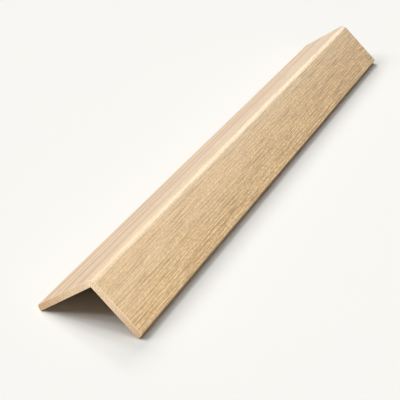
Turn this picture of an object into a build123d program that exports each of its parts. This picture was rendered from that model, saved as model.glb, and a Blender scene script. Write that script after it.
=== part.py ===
from build123d import *

import os
from math import cos, radians, sin

# End trim for slatted acoustic wall panels: a short length of oak angle moulding.
#
# One piece of wood with two equal legs. The section opens a little wider than square, as it does in
# the photograph. The outside of the corner is rounded, the inside is nearly sharp, and each leg ends
# in a toe that is well rounded on its show side and just broken on its back. Both ends are cut square
# to the length, and their sharp edges are lightly sanded off. It lies on its two toes, corner up.
#
# Frame: millimetres, +Z up, +Y along the length, X across it. The origin is on the floor, midway
# between the toes and midway along the length.

LEG_WIDTH = 30.0  # outer face of a leg, from the corner's sharp meeting line to the end of the toe
WALL = 3.0  # thickness of both legs
LENGTH = 364.0  # from end cut to end cut
SECTION_ANGLE = 102.0  # between the two legs
CORNER_RADIUS = 3.2  # show side of the corner
ROOT_RADIUS = 0.3  # inside of the corner
TOE_RADIUS = 1.4  # show side of each toe
TOE_ARRIS = 0.35  # back edge of each toe, the line that the trim rests on
END_ARRIS = 0.25  # sanded edge round each end cut

HALF_ANGLE = radians(SECTION_ANGLE / 2)

# Height of the sharp outer corner above the floor: the back edge of each toe touches the floor.
CORNER_HEIGHT = (
    (LEG_WIDTH - TOE_ARRIS) * cos(HALF_ANGLE) + (WALL - TOE_ARRIS) * sin(HALF_ANGLE) + TOE_ARRIS
)


def section_point(along: float, inward: float, side: int = 1) -> tuple[float, float]:
    """A point of the section, by its distance down a leg and its depth in from the show face.

    Args:
        along: distance from the sharp outer corner, down the leg's show face.
        inward: depth from the show face.
        side: 1 for the leg on the +X side, -1 for the other.

    Returns:
        The point's X and Z.
    """
    x = along * sin(HALF_ANGLE) - inward * cos(HALF_ANGLE)
    z = CORNER_HEIGHT - along * cos(HALF_ANGLE) - inward * sin(HALF_ANGLE)
    return side * x, z


def trim_section() -> Sketch:
    """The section as it stands on the floor, corner up, with all its edges rounded."""
    outer_corner = (0.0, CORNER_HEIGHT)
    root = (0.0, CORNER_HEIGHT - WALL / sin(HALF_ANGLE))
    show_toes = [section_point(LEG_WIDTH, 0.0, side) for side in (1, -1)]
    back_toes = [section_point(LEG_WIDTH, WALL, side) for side in (1, -1)]

    with BuildSketch(Plane.XZ) as profile:
        with BuildLine():
            Polyline(
                outer_corner,
                show_toes[0],
                back_toes[0],
                root,
                back_toes[1],
                show_toes[1],
                close=True,
            )
        make_face()
        roundings = [
            (CORNER_RADIUS, [outer_corner]),
            (ROOT_RADIUS, [root]),
            (TOE_RADIUS, show_toes),
            (TOE_ARRIS, back_toes),
        ]
        for radius, places in roundings:
            corners = [profile.vertices().sort_by_distance(place)[0] for place in places]
            fillet(corners, radius)
    return profile.sketch


def end_trim() -> Part:
    """The whole trim: its section run along Y, with the edges of both end cuts sanded off."""
    stick = extrude(trim_section(), amount=LENGTH / 2, both=True)
    faces_along = stick.faces().sort_by(Axis.Y)
    near_cut = faces_along[0]
    far_cut = faces_along[-1]
    return fillet(near_cut.edges() + far_cut.edges(), END_ARRIS)


os.makedirs("parts", exist_ok=True)
model = end_trim()
model.label = "end_trim"
export_step(model, "parts/end_trim.step")

box = model.bounding_box()
print("size, mm:", [round(side, 2) for side in box.size])
print("lowest point, mm:", round(box.min.Z, 4))
print("volume, mm3:", round(model.volume, 1))
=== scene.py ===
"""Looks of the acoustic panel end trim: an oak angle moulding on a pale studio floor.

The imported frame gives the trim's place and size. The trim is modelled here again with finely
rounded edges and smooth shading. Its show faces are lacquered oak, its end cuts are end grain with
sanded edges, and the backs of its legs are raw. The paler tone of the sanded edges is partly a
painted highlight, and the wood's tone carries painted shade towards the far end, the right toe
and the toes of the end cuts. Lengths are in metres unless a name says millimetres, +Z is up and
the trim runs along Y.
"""

import logging
import math
from dataclasses import dataclass, field
from enum import Enum

import bpy
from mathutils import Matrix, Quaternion, Vector

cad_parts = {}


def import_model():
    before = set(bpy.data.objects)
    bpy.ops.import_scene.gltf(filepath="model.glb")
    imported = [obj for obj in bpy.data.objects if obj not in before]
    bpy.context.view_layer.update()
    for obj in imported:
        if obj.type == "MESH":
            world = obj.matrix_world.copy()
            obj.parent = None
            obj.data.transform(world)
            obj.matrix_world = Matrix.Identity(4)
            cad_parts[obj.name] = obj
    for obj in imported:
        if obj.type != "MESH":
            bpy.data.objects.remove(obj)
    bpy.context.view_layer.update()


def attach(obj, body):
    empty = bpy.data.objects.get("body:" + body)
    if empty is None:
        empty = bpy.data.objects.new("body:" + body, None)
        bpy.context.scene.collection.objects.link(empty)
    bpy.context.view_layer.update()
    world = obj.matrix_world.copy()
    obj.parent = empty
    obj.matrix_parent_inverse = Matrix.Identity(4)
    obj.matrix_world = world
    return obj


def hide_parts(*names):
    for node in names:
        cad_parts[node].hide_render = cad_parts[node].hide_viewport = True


LOG = logging.getLogger("end_trim")

Socket = bpy.types.NodeSocket
Colour = tuple[float, float, float]
Place = tuple[float, float, float]

MM_PER_METRE = 1000.0
SCREEN_WHITE = 255.0
NODE_SPACING = 190.0

# A Mix node has sockets for every kind of value. These are the ones for colours.
MIX_FIRST = 6
MIX_SECOND = 7
MIX_RESULT = 2

# How many waves a wave texture of scale 1 draws in one unit of length.
WAVES_PER_UNIT = 20.0 / (2.0 * math.pi)

# How near to its ideal place a point of the mesh has to be to count as there, in the section and
# along the trim, and how near two points have to be to become one.
SECTION_TOLERANCE = 1e-5
END_TOLERANCE = 1e-6
MERGE_DISTANCE = 1e-6

# Neighbouring faces that turn less than this are one flat face.
FLAT_ANGLE = math.radians(0.5)

# How squarely a face has to look along the trim to be an end cut, or part of its sanded edge.
END_CUT_FACING = 0.99
SANDED_EDGE_FACING = 0.05


class Side(Enum):
    """The side of the trim that a leg lies on."""

    LEFT = -1
    RIGHT = 1


def linear(red: int, green: int, blue: int) -> Colour:
    """Turns a colour from 8-bit screen values to a shader's linear ones, by the curve of sRGB.

    Args:
        red: red, 0 to 255.
        green: green, 0 to 255.
        blue: blue, 0 to 255.

    Returns:
        The three linear values.
    """
    values = []
    for channel in (red, green, blue):
        share = channel / SCREEN_WHITE
        low = share / 12.92
        high = ((share + 0.055) / 1.055) ** 2.4
        values.append(low if share <= 0.04045 else high)
    return (values[0], values[1], values[2])


def opaque(colour: Colour) -> tuple[float, float, float, float]:
    """The colour with full alpha, as a colour socket takes it."""
    return (*colour, 1.0)


@dataclass
class NodeBuilder:
    """Adds and links nodes in one tree, left to right."""

    tree: bpy.types.NodeTree
    column: float = 0.0

    def add(self, kind: str, label: str = "", **settings: object) -> bpy.types.Node:
        """Adds a node.

        Args:
            kind: the node's type name.
            label: what the node is for.
            settings: attributes of the node to set.

        Returns:
            The new node.
        """
        node = self.tree.nodes.new(kind)
        node.label = label
        node.location = (self.column, 0.0)
        self.column += NODE_SPACING
        for name, value in settings.items():
            setattr(node, name, value)
        return node

    def link(self, source: Socket, target: Socket) -> None:
        """Links an output to an input."""
        self.tree.links.new(source, target)

    def feed(self, target: Socket, value: object) -> None:
        """Sets an input to a number or a vector, or links it when given an output.

        Args:
            target: the input.
            value: the number, the vector or the output.
        """
        if isinstance(value, Socket):
            self.link(value, target)
        else:
            target.default_value = value

    def maths(self, operation: str, values: tuple[object, ...], label: str) -> Socket:
        """One Math node.

        Args:
            operation: the node's operation.
            values: its inputs in order, each a number or an output.
            label: what the node is for.

        Returns:
            The node's output.
        """
        node = self.add("ShaderNodeMath", label, operation=operation)
        for target, value in zip(node.inputs, values):
            self.feed(target, value)
        return node.outputs[0]

    def stretch(self, vector: Socket, factors: Place, shift: Place = (0.0, 0.0, 0.0)) -> Socket:
        """Scales and shifts a vector with one Mapping node.

        Args:
            vector: the vector to map.
            factors: the scale along X, Y and Z.
            shift: what is added after scaling.

        Returns:
            The mapped vector.
        """
        node = self.add("ShaderNodeMapping", "stretch")
        self.link(vector, node.inputs["Vector"])
        node.inputs["Scale"].default_value = factors
        node.inputs["Location"].default_value = shift
        return node.outputs["Vector"]

    def noise(self, vector: Socket, detail: float, roughness: float, label: str) -> bpy.types.Node:
        """One Noise Texture of scale 1 on a mapped vector.

        Args:
            vector: where to read the noise.
            detail: octaves added to the first.
            roughness: how strong the finer octaves are.
            label: what the noise is for.

        Returns:
            The noise node.
        """
        node = self.add("ShaderNodeTexNoise", label, noise_dimensions="3D")
        self.link(vector, node.inputs["Vector"])
        node.inputs["Scale"].default_value = 1.0
        node.inputs["Detail"].default_value = detail
        node.inputs["Roughness"].default_value = roughness
        return node

    def band(self, value: object, low: float, high: float, label: str) -> Socket:
        """Maps a value from low..high to 0..1, smoothly and held inside 0..1.

        Args:
            value: the value to map.
            low: what becomes 0.
            high: what becomes 1.
            label: what the node is for.

        Returns:
            The mapped value.
        """
        node = self.add("ShaderNodeMapRange", label, interpolation_type="SMOOTHSTEP")
        self.feed(node.inputs["Value"], value)
        node.inputs["From Min"].default_value = low
        node.inputs["From Max"].default_value = high
        return node.outputs["Result"]

    def blend(self, share: object, first: object, second: object, label: str) -> Socket:
        """Mixes two colours.

        Args:
            share: how much of the second colour shows.
            first: a colour or an output.
            second: a colour or an output.
            label: what the mix is for.

        Returns:
            The mixed colour.
        """
        node = self.add("ShaderNodeMix", label, data_type="RGBA")
        self.feed(node.inputs["Factor"], share)
        self.feed(node.inputs[MIX_FIRST], first)
        self.feed(node.inputs[MIX_SECOND], second)
        return node.outputs[MIX_RESULT]


@dataclass(frozen=True)
class Layer:
    """One layer of the oak's figure.

    The pitches are in cycles a millimetre, across the grain and along it, and start is where the
    layer begins in the noise. Noise from low to high is spread over 0 to 1.
    """

    label: str
    across: float
    along: float
    start: Place
    low: float = 0.0
    high: float = 1.0


@dataclass(frozen=True)
class OakFigure:
    """The figure of oak as a solid pattern: growth bands, fibres and pores that run along Y.

    The same pattern gives streaks on the long faces and specks on the end cuts. The grain wanders
    a little from a straight line. The tone also carries painted shade: it turns slowly towards the
    far end, with the right side ahead of the left by the slant so that the right toe is darker, or
    it darkens from the brightest place near the corner out to the toes. Pairs of millimetres say
    where such a change starts and where it is complete.
    """

    name: str = "Oak figure"
    band: Layer = Layer("growth bands", 0.11, 0.003, (7.3, 1.9, 4.1), 0.34, 0.66)
    streak: Layer = Layer("broad streaks", 0.34, 0.003, (3.9, 2.2, 7.4), 0.40, 0.60)
    fibre: Layer = Layer("fibres", 0.86, 0.030, (2.7, 8.8, 5.5))
    hair: Layer = Layer("finest fibres", 1.28, 0.050, (6.1, 0.7, 3.3))
    fleck: Layer = Layer("flecks", 1.30, 0.45, (1.4, 5.2, 8.7), 0.36, 0.64)
    pore: Layer = Layer("pores", 1.60, 0.045, (11.2, 3.4, 9.6), 0.63, 0.76)
    outputs: tuple[str, ...] = (
        "Band",
        "ShadeAlong",
        "ShadeToToes",
        "Streaks",
        "Fibre",
        "Hair",
        "Fleck",
        "Pores",
        "Height",
    )
    patch_roughness: float = 0.45
    line_roughness: float = 0.5
    line_waver: float = 4.0
    line_waver_scale: float = 4.0
    wander_mm: float = 0.5
    wander_pitch: tuple[float, float] = (0.04, 0.006)
    # The slant and these millimetres place the painted shade towards the far end and the right toe.
    slant: float = 18.0
    painted_shade_along_mm: tuple[float, float] = (-100.0, 650.0)
    # Painted shade on the end cuts: brightest at this place near the corner, darker out to the
    # toes.
    least_shade_mm: float = 3.0
    painted_shade_toes_mm: tuple[float, float] = (2.0, 27.0)
    left_leg_mm: tuple[float, float] = (-1.0, -5.0)
    pores_in_bands: float = 0.05
    pore_gain: float = 0.16
    fibre_relief: float = -0.4
    pore_relief: float = -0.9

    def _patches(self, build: NodeBuilder, grain: Socket, layer: Layer) -> Socket:
        """One layer of noise drawn out along the grain.

        Args:
            build: the builder of the group.
            grain: the place in the wood, in millimetres.
            layer: the layer.

        Returns:
            The noise, about 0.5 on average.
        """
        factors = (layer.across, layer.along, layer.across)
        mapped = build.stretch(grain, factors, layer.start)
        return build.noise(mapped, 1.0, self.patch_roughness, layer.label).outputs["Fac"]

    def _marks(self, build: NodeBuilder, grain: Socket, layer: Layer) -> Socket:
        """One layer of soft marks: its noise, spread over 0 to 1.

        Args:
            build: the builder of the group.
            grain: the place in the wood, in millimetres.
            layer: the layer.

        Returns:
            The layer's value, from 0 where the wood is plain to 1 in a mark.
        """
        patches = self._patches(build, grain, layer)
        return build.band(patches, layer.low, layer.high, f"{layer.label}, light to dark")

    def _lines(self, build: NodeBuilder, grain: Socket, layer: Layer) -> Socket:
        """One layer of fine lines along the grain, close together and not quite straight.

        Args:
            build: the builder of the group.
            grain: the place in the wood, in millimetres.
            layer: the layer, with lines a millimetre and how often they waver a millimetre.

        Returns:
            The layer's value, from 0 on a pale line to 1 on a dark one.
        """
        across = layer.across / WAVES_PER_UNIT
        along = layer.along / self.line_waver_scale
        mapped = build.stretch(grain, (across, along, across), layer.start)
        wave = build.add("ShaderNodeTexWave", layer.label, wave_type="BANDS", bands_direction="X")
        build.link(mapped, wave.inputs["Vector"])
        wave.inputs["Scale"].default_value = 1.0
        wave.inputs["Distortion"].default_value = self.line_waver
        wave.inputs["Detail"].default_value = 1.0
        wave.inputs["Detail Scale"].default_value = self.line_waver_scale
        wave.inputs["Detail Roughness"].default_value = self.line_roughness
        return wave.outputs["Fac"]

    def _wandering(self, build: NodeBuilder, millimetres: Socket) -> Socket:
        """The place in the wood, moved a little sideways so that the grain isn't quite straight.

        Args:
            build: the builder of the group.
            millimetres: the place on the trim.

        Returns:
            The place in the wood, in millimetres.
        """
        across, along = self.wander_pitch
        mapped = build.stretch(millimetres, (across, along, across))
        drift = build.noise(mapped, 1.0, self.line_roughness, "slow drift of the grain")
        centred = build.add("ShaderNodeVectorMath", "drift about zero", operation="SUBTRACT")
        build.link(drift.outputs["Color"], centred.inputs[0])
        centred.inputs[1].default_value = (0.5, 0.5, 0.5)
        sized = build.add("ShaderNodeVectorMath", "drift in millimetres", operation="MULTIPLY")
        build.link(centred.outputs[0], sized.inputs[0])
        sized.inputs[1].default_value = (self.wander_mm * 2, 0.0, self.wander_mm * 2)
        moved = build.add("ShaderNodeVectorMath", "grain that wanders", operation="ADD")
        build.link(millimetres, moved.inputs[0])
        build.link(sized.outputs[0], moved.inputs[1])
        return moved.outputs[0]

    def _painted_shade_along(self, build: NodeBuilder, x: Socket, y: Socket) -> Socket:
        """How far the painted shade has turned the tone on the way to the far end and the right
        toe.
        """
        slanted = build.maths("MULTIPLY_ADD", (x, self.slant, y), "slanted a little")
        return build.band(slanted, *self.painted_shade_along_mm, "deeper tone to one end")

    def _painted_shade_to_toes(self, build: NodeBuilder, x: Socket) -> Socket:
        """How far the painted shade has darkened the tone on the way to the toes.

        Args:
            build: the builder of the group.
            x: the place across the trim, in millimetres.

        Returns:
            The share of the deeper tone.
        """
        # Painted shade: measured from the brightest place near the corner.
        offset = build.maths("SUBTRACT", (x, self.least_shade_mm), "from the least painted shade")
        reach = build.maths("ABSOLUTE", (offset,), "distance from the least painted shade")
        return build.band(reach, *self.painted_shade_toes_mm, "deeper tone to the toes")

    def _streaks(self, build: NodeBuilder, grain: Socket, x: Socket) -> Socket:
        """The broad streaks of the left leg, whose wood is cut more plainly.

        Args:
            build: the builder of the group.
            grain: the place in the wood, in millimetres.
            x: the place across the trim, in millimetres.

        Returns:
            How strongly a streak shows.
        """
        left = build.band(x, *self.left_leg_mm, "left leg")
        drawn = self._marks(build, grain, self.streak)
        return build.maths("MULTIPLY", (drawn, left), "streaks of the left leg")

    def _pores(self, build: NodeBuilder, grain: Socket, band: Socket, amount: Socket) -> Socket:
        """The short dark pores, more of them in the dark bands.

        Args:
            build: the builder of the group.
            grain: the place in the wood, in millimetres.
            band: the growth bands.
            amount: how many pores there are.

        Returns:
            The pores, 1 in the middle of one.
        """
        patches = self._patches(build, grain, self.pore)
        crowding = (band, self.pores_in_bands, patches)
        crowded = build.maths("MULTIPLY_ADD", crowding, "more pores in the dark bands")
        counted = build.maths("MULTIPLY_ADD", (amount, self.pore_gain, crowded), "pore amount")
        return build.band(counted, self.pore.low, self.pore.high, "pore streaks")

    def _height(self, build: NodeBuilder, hair: Socket, pores: Socket) -> Socket:
        """The relief of the grain: fibres stand a little and pores are sunk."""
        relief = build.maths("MULTIPLY", (hair, self.fibre_relief), "fibres stand a little")
        return build.maths("MULTIPLY_ADD", (pores, self.pore_relief, relief), "pores are sunk")

    def _empty_group(self) -> bpy.types.NodeTree:
        """Makes the group with its sockets and nothing inside.

        Returns:
            The new group.
        """
        tree = bpy.data.node_groups.new(self.name, "ShaderNodeTree")
        sockets = tree.interface
        sockets.new_socket("Vector", in_out="INPUT", socket_type="NodeSocketVector")
        sockets.new_socket("Pore amount", in_out="INPUT", socket_type="NodeSocketFloat")
        for output in self.outputs:
            sockets.new_socket(output, in_out="OUTPUT", socket_type="NodeSocketFloat")
        return tree

    def group(self) -> bpy.types.NodeTree:
        """Builds the shader node group, or returns it when it is there already.

        Returns:
            The group, with inputs Vector and Pore amount, and one output for each part.
        """
        known = bpy.data.node_groups.get(self.name)
        if known is not None:
            return known
        tree = self._empty_group()
        build = NodeBuilder(tree)
        inputs = build.add("NodeGroupInput")
        outputs = build.add("NodeGroupOutput")
        millimetres = build.stretch(inputs.outputs["Vector"], (MM_PER_METRE,) * 3)
        axes = build.add("ShaderNodeSeparateXYZ", "place on the trim")
        build.link(millimetres, axes.inputs[0])
        x = axes.outputs["X"]
        y = axes.outputs["Y"]

        grain = self._wandering(build, millimetres)
        band = self._marks(build, grain, self.band)
        fibre = self._lines(build, grain, self.fibre)
        hair = self._lines(build, grain, self.hair)
        fleck = self._marks(build, grain, self.fleck)
        pores = self._pores(build, grain, band, inputs.outputs["Pore amount"])
        parts = (
            band,
            self._painted_shade_along(build, x, y),
            self._painted_shade_to_toes(build, x),
            self._streaks(build, grain, x),
            fibre,
            hair,
            fleck,
            pores,
            self._height(build, hair, pores),
        )
        for name, part in zip(self.outputs, parts, strict=True):
            build.link(part, outputs.inputs[name])
        return tree


class PaintedShade(Enum):
    """Which way the painted shade darkens the wood's tone, by the figure's output for it."""

    ALONG = "ShadeAlong"
    TO_TOES = "ShadeToToes"


@dataclass(frozen=True)
class OakFinish:
    """One finish of the oak: its tones, how strongly the grain shows, its sheen and its relief.

    The wood goes from pale to warm in the growth bands, and towards its shade tone where the
    painted shade lies. The shares say how strongly each layer of the figure marks it, and
    grain_gain how much more all of them show at the far end. Lacquer is a clear coat over the
    wood, and streak is the tone of the left leg's broad streaks.
    """

    name: str
    # Which way the painted shade runs over the wood.
    painted_shade: PaintedShade
    pale: Colour
    warm: Colour
    # The tone that the painted shade turns the wood to.
    shade_tone: Colour
    fibre: Colour
    pore: Colour
    fibre_share: float
    hair_share: float
    fleck_share: float
    pore_share: float
    pore_amount: float
    grain_gain: float
    roughness: float
    roughness_spread: float
    relief: float
    relief_depth: float
    specular: float = 0.5
    lacquer: float = 0.0
    lacquer_roughness: float = 0.3
    streak: Colour = (0.0, 0.0, 0.0)
    streak_share: float = 0.0
    figure: OakFigure = field(default_factory=OakFigure)

    def material(self) -> bpy.types.Material:
        """Builds the material.

        Returns:
            The material, ready to be put on a piece.
        """
        finish = bpy.data.materials.new(self.name)
        finish.use_nodes = True
        finish.diffuse_color = opaque(self.pale)
        finish.node_tree.nodes.clear()
        build = NodeBuilder(finish.node_tree)
        place = build.add("ShaderNodeTexCoord", "on the object")
        grain = build.add("ShaderNodeGroup", self.figure.name)
        grain.node_tree = self.figure.group()
        build.link(place.outputs["Object"], grain.inputs["Vector"])
        grain.inputs["Pore amount"].default_value = self.pore_amount

        coloured = self._colour(build, grain)
        spread = (grain.outputs["Fibre"], self.roughness_spread, self.roughness)
        rough = build.maths("MULTIPLY_ADD", spread, "sheen breaks up on the grain")

        bump = build.add("ShaderNodeBump", "relief of the grain")
        bump.inputs["Strength"].default_value = self.relief
        bump.inputs["Distance"].default_value = self.relief_depth
        build.link(grain.outputs["Height"], bump.inputs["Height"])

        shader = build.add("ShaderNodeBsdfPrincipled", "oak")
        build.link(coloured, shader.inputs["Base Color"])
        build.link(rough, shader.inputs["Roughness"])
        build.link(bump.outputs["Normal"], shader.inputs["Normal"])
        shader.inputs["Specular IOR Level"].default_value = self.specular
        shader.inputs["Coat Weight"].default_value = self.lacquer
        shader.inputs["Coat Roughness"].default_value = self.lacquer_roughness
        output = build.add("ShaderNodeOutputMaterial")
        build.link(shader.outputs["BSDF"], output.inputs["Surface"])
        return finish

    def _colour(self, build: NodeBuilder, grain: bpy.types.Node) -> Socket:
        """The colour of the wood with all its marks.

        Args:
            build: the builder of the material.
            grain: the node of the oak's figure.

        Returns:
            The colour.
        """
        figure = grain.outputs
        coloured = build.blend(figure["Band"], opaque(self.pale), opaque(self.warm), "growth bands")
        # Painted shade: the wood turns to its shade tone towards the far end or towards the toes.
        painted_shade_share = figure[self.painted_shade.value]
        coloured = build.blend(painted_shade_share, coloured, opaque(self.shade_tone), "deeper tone")
        if self.streak_share > 0.0:
            strength = build.maths("MULTIPLY", (figure["Streaks"], self.streak_share), "streaks")
            coloured = build.blend(strength, coloured, opaque(self.streak), "broad streaks")
        stronger = (figure["ShadeAlong"], self.grain_gain, 1.0)
        marking = build.maths("MULTIPLY_ADD", stronger, "grain shows more to one end")
        for layer, share, tone in (
            ("Fibre", self.fibre_share, self.fibre),
            ("Hair", self.hair_share, self.fibre),
            ("Fleck", self.fleck_share, self.fibre),
            ("Pores", self.pore_share, self.pore),
        ):
            label = layer.lower()
            marked = build.maths("MULTIPLY", (figure[layer], marking), f"{label}, marked")
            strength = build.maths("MULTIPLY", (marked, share), f"how strong: {label}")
            coloured = build.blend(strength, coloured, opaque(tone), label)
        return coloured


LONG_GRAIN = OakFinish(
    name="oak_long_grain",
    painted_shade=PaintedShade.ALONG,
    pale=linear(229, 203, 164),
    warm=linear(226, 197, 156),
    # Painted shade: the tone towards the far end and the right toe.
    shade_tone=linear(245, 212, 150),
    fibre=linear(145, 99, 40),
    pore=linear(112, 70, 30),
    fibre_share=0.18,
    hair_share=0.22,
    fleck_share=0.19,
    pore_share=0.22,
    pore_amount=0.3,
    grain_gain=2.1,
    roughness=0.45,
    roughness_spread=0.10,
    relief=0.30,
    relief_depth=0.00010,
    specular=0.18,
    lacquer=0.76,
    lacquer_roughness=0.33,
    streak=linear(176, 116, 48),
    streak_share=0.60,
)

RAW_BACK = OakFinish(
    name="oak_raw_back",
    painted_shade=PaintedShade.ALONG,
    pale=linear(214, 194, 168),
    warm=linear(206, 184, 157),
    # Painted shade: the tone of the backs towards the far end and the right toe.
    shade_tone=linear(198, 174, 145),
    fibre=linear(156, 126, 94),
    pore=linear(116, 88, 62),
    fibre_share=0.31,
    hair_share=0.31,
    fleck_share=0.30,
    pore_share=0.45,
    pore_amount=0.4,
    grain_gain=0.5,
    roughness=0.70,
    roughness_spread=0.10,
    relief=0.45,
    relief_depth=0.00015,
    specular=0.3,
)

END_GRAIN = OakFinish(
    name="oak_end_grain",
    painted_shade=PaintedShade.TO_TOES,
    pale=linear(252, 231, 203),
    warm=linear(244, 217, 183),
    # Painted shade: the end cut darkens to this tone at the toes.
    shade_tone=linear(200, 166, 128),
    fibre=linear(186, 150, 110),
    pore=linear(150, 114, 80),
    fibre_share=0.32,
    hair_share=0.22,
    fleck_share=0.16,
    pore_share=0.25,
    pore_amount=0.3,
    grain_gain=0.0,
    roughness=0.55,
    roughness_spread=0.12,
    relief=0.25,
    relief_depth=0.00008,
    specular=0.35,
)

# Paler than the long grain: partly the sanded wood, partly a painted highlight along the broken
# edges.
SANDED_EDGE_AND_HIGHLIGHT = OakFinish(
    name="oak_sanded_edge_and_highlight",
    painted_shade=PaintedShade.TO_TOES,
    pale=linear(240, 216, 182),
    warm=linear(234, 209, 173),
    # Painted shade: the sanded edge darkens to this tone at the toes.
    shade_tone=linear(216, 186, 148),
    fibre=linear(214, 184, 146),
    pore=linear(176, 142, 106),
    fibre_share=0.25,
    hair_share=0.20,
    fleck_share=0.20,
    pore_share=0.30,
    pore_amount=0.2,
    grain_gain=0.0,
    roughness=0.50,
    roughness_spread=0.10,
    relief=0.20,
    relief_depth=0.00006,
    lacquer=0.1,
    lacquer_roughness=0.4,
)


def deselect_all() -> None:
    """Leaves object mode with nothing selected, the frame's own pieces included."""
    if bpy.context.object is not None and bpy.context.object.mode != "OBJECT":
        bpy.ops.object.mode_set(mode="OBJECT")
    bpy.ops.object.select_all(action="DESELECT")


@dataclass
class AngleTrim:
    """The trim itself: one stick of oak with two equal legs and every edge rounded.

    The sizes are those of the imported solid. The segments say how many faces each rounding has.
    """

    leg_width: float = 0.030
    wall: float = 0.003
    length: float = 0.364
    half_angle: float = math.radians(51.0)
    corner_radius: float = 0.0032
    root_radius: float = 0.0003
    toe_radius: float = 0.0014
    toe_arris: float = 0.00035
    end_arris: float = 0.00025
    corner_segments: int = 24
    root_segments: int = 4
    toe_segments: int = 12
    toe_arris_segments: int = 6
    end_arris_segments: int = 3
    name: str = "oak_trim"

    def corner_height(self) -> float:
        """Height of the sharp outer corner above the floor that the toes rest on.

        Returns:
            The height.
        """
        run = (self.leg_width - self.toe_arris) * math.cos(self.half_angle)
        depth = (self.wall - self.toe_arris) * math.sin(self.half_angle)
        return run + depth + self.toe_arris

    def section_point(
        self, along: float, inward: float, side: Side = Side.RIGHT
    ) -> tuple[float, float]:
        """A point of the section.

        Args:
            along: distance down a leg from the sharp outer corner.
            inward: depth from the show face.
            side: the leg.

        Returns:
            The point's X and Z.
        """
        x = along * math.sin(self.half_angle) - inward * math.cos(self.half_angle)
        fall = along * math.cos(self.half_angle) + inward * math.sin(self.half_angle)
        return side.value * x, self.corner_height() - fall

    def build(self) -> bpy.types.Object:
        """Models the trim.

        Returns:
            The finished piece, at the origin with its place in its mesh.
        """
        stick = self._add_leg()
        self._mitre_and_mirror(stick)
        self._round_long_edges(stick)
        self._round_end_edges(stick)
        self._smooth(stick)
        return stick

    def _add_leg(self) -> bpy.types.Object:
        """Adds the right leg as a slab that runs a little past the corner.

        Returns:
            The slab.
        """
        overrun = self.wall * 2
        middle_x, middle_z = self.section_point((self.leg_width - overrun) / 2, self.wall / 2)
        deselect_all()
        bpy.ops.mesh.primitive_cube_add(
            size=1.0,
            location=(middle_x, 0.0, middle_z),
            rotation=(0.0, math.pi / 2 - self.half_angle, 0.0),
            scale=(self.leg_width + overrun, self.length, self.wall),
        )
        stick = bpy.context.object
        stick.name = self.name
        stick.data.name = self.name
        bpy.ops.object.transform_apply(location=True, rotation=True, scale=True)
        return stick

    def _mitre_and_mirror(self, stick: bpy.types.Object) -> None:
        """Cuts the slab off at the middle plane, mirrors it and joins the two legs into one stick.

        Args:
            stick: the slab of the right leg.
        """
        bpy.ops.object.mode_set(mode="EDIT")
        bpy.ops.mesh.select_all(action="SELECT")
        bpy.ops.mesh.bisect(
            plane_co=(0.0, 0.0, 0.0),
            plane_no=(1.0, 0.0, 0.0),
            use_fill=False,
            clear_inner=True,
        )
        bpy.ops.object.mode_set(mode="OBJECT")
        mirror = stick.modifiers.new("second leg", "MIRROR")
        mirror.use_axis = (True, False, False)
        mirror.use_mirror_merge = True
        mirror.merge_threshold = MERGE_DISTANCE
        bpy.ops.object.modifier_apply(modifier=mirror.name)
        bpy.ops.object.mode_set(mode="EDIT")
        bpy.ops.mesh.select_all(action="SELECT")
        bpy.ops.mesh.dissolve_limited(angle_limit=FLAT_ANGLE)
        bpy.ops.mesh.select_all(action="SELECT")
        bpy.ops.mesh.normals_make_consistent(inside=False)
        bpy.ops.object.mode_set(mode="OBJECT")

    def _select_nothing(self, stick: bpy.types.Object) -> None:
        """Deselects every vertex, edge and face of the piece."""
        for part in (stick.data.vertices, stick.data.edges, stick.data.polygons):
            part.foreach_set("select", [False] * len(part))

    def _select_long_edges(
        self, stick: bpy.types.Object, places: list[tuple[float, float]]
    ) -> None:
        """Selects the long edges that run through the given points of the section.

        Args:
            stick: the piece.
            places: the points, as X and Z, each on one edge.

        Raises:
            ValueError: if there isn't one edge for each point.
        """
        self._select_nothing(stick)
        found = 0
        for edge in stick.data.edges:
            ends = [stick.data.vertices[index].co for index in edge.vertices]
            for x, z in places:
                if all(math.hypot(end.x - x, end.z - z) < SECTION_TOLERANCE for end in ends):
                    edge.select = True
                    found += 1
        if found != len(places):
            raise ValueError(f"{found} edges found at {places}")

    def _bevel_selected(
        self, offset: float, segments: int, half_angle: float = math.pi / 4
    ) -> None:
        """Rounds the selected edges to an arc.

        Args:
            offset: how far the rounding runs on each side of the edge.
            segments: how many faces the rounding has.
            half_angle: half the angle of the corner, square if not given.
        """
        # The profile that makes the rounding a true arc in a corner of this angle.
        fullness = (1.0 - 0.5 / (1.0 + math.sin(half_angle))) ** 2
        bpy.ops.object.mode_set(mode="EDIT")
        bpy.ops.mesh.select_mode(type="EDGE")
        bpy.ops.mesh.bevel(
            offset_type="OFFSET", offset=offset, segments=segments, profile=fullness, affect="EDGES"
        )
        bpy.ops.object.mode_set(mode="OBJECT")

    def _round_long_edges(self, stick: bpy.types.Object) -> None:
        """Rounds the corner, its root and both edges of each toe.

        Args:
            stick: the piece.
        """
        outer = [(0.0, self.corner_height())]
        root = [(0.0, self.corner_height() - self.wall / math.sin(self.half_angle))]
        shows = [self.section_point(self.leg_width, 0.0, side) for side in Side]
        backs = [self.section_point(self.leg_width, self.wall, side) for side in Side]
        tangent = 1.0 / math.tan(self.half_angle)
        square = math.pi / 4
        for places, offset, segments, half_angle in (
            (outer, self.corner_radius * tangent, self.corner_segments, self.half_angle),
            (root, self.root_radius * tangent, self.root_segments, self.half_angle),
            (shows, self.toe_radius, self.toe_segments, square),
            (backs, self.toe_arris, self.toe_arris_segments, square),
        ):
            self._select_long_edges(stick, places)
            self._bevel_selected(offset, segments, half_angle)

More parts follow.
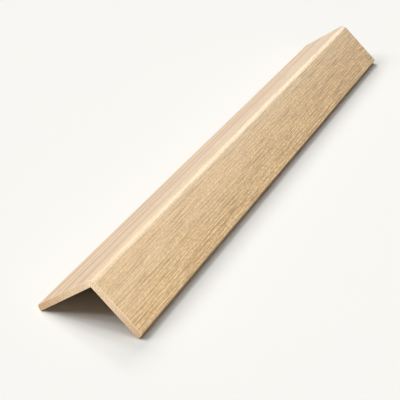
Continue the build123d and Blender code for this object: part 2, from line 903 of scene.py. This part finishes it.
    def _round_end_edges(self, stick: bpy.types.Object) -> None:
        """Breaks the sharp edge round each end cut.

        Args:
            stick: the piece.
        """
        self._select_nothing(stick)
        half_length = self.length / 2
        for edge in stick.data.edges:
            first, second = [stick.data.vertices[index].co.y for index in edge.vertices]
            across = abs(first - second) < END_TOLERANCE
            edge.select = across and abs(abs(first) - half_length) < END_TOLERANCE
        self._bevel_selected(self.end_arris, self.end_arris_segments)

    def _smooth(self, stick: bpy.types.Object) -> None:
        """Shades the roundings smooth and keeps the flats flat.

        Args:
            stick: the piece.
        """
        deselect_all()
        stick.select_set(True)
        bpy.context.view_layer.objects.active = stick
        bpy.ops.object.shade_smooth()
        weighted = stick.modifiers.new("flats stay flat", "WEIGHTED_NORMAL")
        weighted.mode = "FACE_AREA"
        weighted.weight = 100
        bpy.ops.object.modifier_apply(modifier=weighted.name)

    def dress(self, stick: bpy.types.Object) -> None:
        """Gives each face its finish, and joins the piece to the frame.

        Args:
            stick: the finished mesh.
        """
        finishes = (LONG_GRAIN, END_GRAIN, SANDED_EDGE_AND_HIGHLIGHT, RAW_BACK)
        stick.data.materials.clear()
        for finish in finishes:
            stick.data.materials.append(finish.material())
        for face in stick.data.polygons:
            face.material_index = finishes.index(self._finish_of(face))
        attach(stick, "root")
        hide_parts("end_trim")

    def _finish_of(self, face: bpy.types.MeshPolygon) -> OakFinish:
        """The finish that a face takes, by where it lies and where it looks.

        Args:
            face: a face of the finished mesh.

        Returns:
            The finish.
        """
        facing = abs(face.normal.y)
        if facing > END_CUT_FACING:
            return END_GRAIN
        if facing > SANDED_EDGE_FACING:
            return SANDED_EDGE_AND_HIGHLIGHT
        looks_inward = face.normal.x * face.center.x < 0.0
        if looks_inward and face.normal.z < 0.0:
            return RAW_BACK
        return LONG_GRAIN


PALE_GROUND = linear(248, 247, 243)


@dataclass
class StudioFloor:
    """A plain pale floor, large enough for every view, that takes the trim's shadow."""

    width: float = 8.0
    roughness: float = 0.9
    colour: Colour = PALE_GROUND
    name: str = "studio_floor"

    def build(self) -> bpy.types.Object:
        """Adds the floor.

        Returns:
            The floor.
        """
        deselect_all()
        bpy.ops.mesh.primitive_plane_add(size=self.width, location=(0.0, 0.0, 0.0))
        floor = bpy.context.object
        floor.name = self.name
        paint = bpy.data.materials.new(self.name)
        paint.use_nodes = True
        shader = paint.node_tree.nodes["Principled BSDF"]
        shader.inputs["Base Color"].default_value = opaque(self.colour)
        shader.inputs["Roughness"].default_value = self.roughness
        shader.inputs["Specular IOR Level"].default_value = 0.0
        floor.data.materials.append(paint)
        return floor


class Lit(Enum):
    """The one thing that a lamp lights."""

    FLOOR = "floor"
    TRIM = "trim"


@dataclass(frozen=True)
class FarLamp:
    """A lamp so far away that its light falls the same everywhere, spread by some degrees."""

    name: str
    towards: Place
    strength: float
    spread: float
    lit: Lit

    def add(self) -> bpy.types.Object:
        """Adds the lamp to the scene.

        Returns:
            The lamp's object.
        """
        lamp = bpy.data.lights.new(self.name, "SUN")
        lamp.energy = self.strength
        lamp.angle = math.radians(self.spread)
        return hang_lamp(lamp, self.towards)


@dataclass(frozen=True)
class Softbox:
    """A square lamp near the trim, so that its light fades a little along it."""

    name: str
    place: Place
    power: float
    side: float
    lit: Lit

    def add(self) -> bpy.types.Object:
        """Adds the lamp to the scene.

        Returns:
            The lamp's object.
        """
        lamp = bpy.data.lights.new(self.name, "AREA")
        lamp.shape = "SQUARE"
        lamp.size = self.side
        lamp.energy = self.power
        return hang_lamp(lamp, self.place)


def hang_lamp(lamp: bpy.types.Light, place: Place) -> bpy.types.Object:
    """Puts a lamp at its place, turned to the middle of the trim.

    Args:
        lamp: the lamp's data.
        place: where it hangs; for a far lamp only the direction counts.

    Returns:
        The lamp's object.
    """
    holder = bpy.data.objects.new(lamp.name, lamp)
    bpy.context.scene.collection.objects.link(holder)
    holder.location = place
    holder.rotation_euler = Vector(place).to_track_quat("Z", "Y").to_euler()
    return holder


@dataclass
class StudioLight:
    """Plain studio light in a pale room.

    The floor has a long window on the left, which gives the short shadow on the right, and a
    skylight. The trim has a skylight of its own, a softbox in front for the right leg and the near
    end, a fill for the left leg, and a back light for the sheen along the rounded corner. Each pane
    of the window has its turn from straight across and its rise above the floor, in degrees.
    """

    window_panes: tuple[tuple[float, float], ...] = (
        (-38.0, 36.0),
        (-19.0, 36.0),
        (0.0, 47.0),
        (19.0, 36.0),
        (38.0, 36.0),
    )
    window_strength: float = 0.685
    window_spread: float = 13.0
    lamps: tuple[FarLamp | Softbox, ...] = (
        FarLamp("trim_skylight", (-0.44, -0.26, 0.90), 0.98, 60.0, Lit.TRIM),
        FarLamp("floor_skylight", (-0.44, -0.07, 0.90), 0.97, 66.0, Lit.FLOOR),
        FarLamp("back_light", (-0.12, 0.80, 0.62), 1.44, 48.0, Lit.TRIM),
        FarLamp("left_fill", (-0.76, -0.15, 0.60), 0.86, 20.0, Lit.TRIM),
        Softbox("softbox", (0.60, -0.88, 0.87), 13.8, 0.8, Lit.TRIM),
    )
    room_strength: float = 0.10
    background: Colour = PALE_GROUND

    def build(self, trim: bpy.types.Object, floor: bpy.types.Object) -> None:
        """Adds the lamps and sets the world.

        Args:
            trim: the finished trim.
            floor: the studio floor.
        """
        groups: dict[Lit, bpy.types.Collection] = {}
        for lit, thing in ((Lit.TRIM, trim), (Lit.FLOOR, floor)):
            groups[lit] = bpy.data.collections.new(f"lit_{lit.value}")
            groups[lit].objects.link(thing)
        for lamp in (*self._window(), *self.lamps):
            lamp.add().light_linking.receiver_collection = groups[lamp.lit]
            LOG.info("lamp %s", lamp.name)
        self._paint_room()

    def _window(self) -> list[FarLamp]:
        """The panes of the long window.

        Returns:
            One far lamp for each pane.
        """
        strength = self.window_strength
        panes = []
        for number, (turn, rise) in enumerate(self.window_panes, start=1):
            towards = (-1.0, math.tan(math.radians(turn)), math.tan(math.radians(rise)))
            name = f"window_pane_{number}"
            panes.append(FarLamp(name, towards, strength, self.window_spread, Lit.FLOOR))
        return panes

    def _paint_room(self) -> None:
        """Sets the world: a little light all round, and the backdrop that is seen or mirrored."""
        world = bpy.data.worlds.new("pale_room")
        bpy.context.scene.world = world
        world.use_nodes = True
        world.node_tree.nodes.clear()
        build = NodeBuilder(world.node_tree)
        rays = build.add("ShaderNodeLightPath")
        room = build.add("ShaderNodeBackground", "light all round")
        room.inputs["Color"].default_value = (1.0, 1.0, 1.0, 1.0)
        room.inputs["Strength"].default_value = self.room_strength
        seen = build.add("ShaderNodeBackground", "backdrop")
        seen.inputs["Color"].default_value = opaque(self.background)
        seen.inputs["Strength"].default_value = 1.0
        choice = build.add("ShaderNodeMixShader")
        looks = (rays.outputs["Is Camera Ray"], rays.outputs["Is Glossy Ray"])
        mirrored = build.maths("ADD", looks, "seen or mirrored")
        looks = (mirrored, rays.outputs["Is Transmission Ray"])
        shown = build.maths("MAXIMUM", looks, "the backdrop shows")
        build.link(shown, choice.inputs[0])
        build.link(room.outputs[0], choice.inputs[1])
        build.link(seen.outputs[0], choice.inputs[2])
        output = build.add("ShaderNodeOutputWorld")
        build.link(choice.outputs[0], output.inputs["Surface"])


@dataclass
class StudioCamera:
    """The photograph's viewpoint: from the front, a little to the right and above.

    The azimuth, elevation and roll are in degrees, the lens and the sensor's width in millimetres.
    """

    azimuth: float = 19.17
    elevation: float = 26.26
    roll: float = 5.18
    distance: float = 0.6047
    aim: Place = (0.00318, -0.07062, 0.00807)
    lens: float = 116.64
    sensor_width: float = 36.0
    nearest: float = 0.01

    def build(self) -> bpy.types.Object:
        """Adds the camera and makes it the scene's own.

        Returns:
            The camera.
        """
        turn = math.radians(self.azimuth)
        rise = math.radians(self.elevation)
        level_reach = math.cos(rise)
        back = Vector((math.sin(turn) * level_reach, -math.cos(turn) * level_reach, math.sin(rise)))
        camera = bpy.data.objects.new("camera", bpy.data.cameras.new("camera"))
        bpy.context.scene.collection.objects.link(camera)
        camera.data.sensor_width = self.sensor_width
        camera.data.lens = self.lens
        camera.data.clip_start = self.nearest
        camera.location = Vector(self.aim) + back * self.distance
        level = back.to_track_quat("Z", "Y")
        tilt = Quaternion((0.0, 0.0, 1.0), math.radians(self.roll))
        camera.rotation_euler = (level @ tilt).to_euler()
        bpy.context.scene.camera = camera
        return camera


def report(piece: bpy.types.Object) -> None:
    """Logs a piece's name, its faces and the box that it fills.

    Args:
        piece: the finished piece.
    """
    corners = [vertex.co for vertex in piece.data.vertices]
    sides = []
    for axis in range(3):
        reaches = [corner[axis] for corner in corners]
        sides.append(f"{(max(reaches) - min(reaches)) * MM_PER_METRE:.2f}")
    LOG.info("%s: %d faces, %s mm", piece.name, len(piece.data.polygons), " x ".join(sides))


def main() -> None:
    """Loads the frame, builds the trim and the studio round it, and logs the trim's sizes."""
    logging.basicConfig(level=logging.INFO, format="%(name)s: %(message)s")
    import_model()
    StudioCamera().build()

    trim = AngleTrim()
    stick = trim.build()
    trim.dress(stick)
    report(stick)

    floor = StudioFloor().build()
    StudioLight().build(stick, floor)
    bpy.context.scene.view_settings.view_transform = "Standard"


if __name__ == "__main__":
    main()
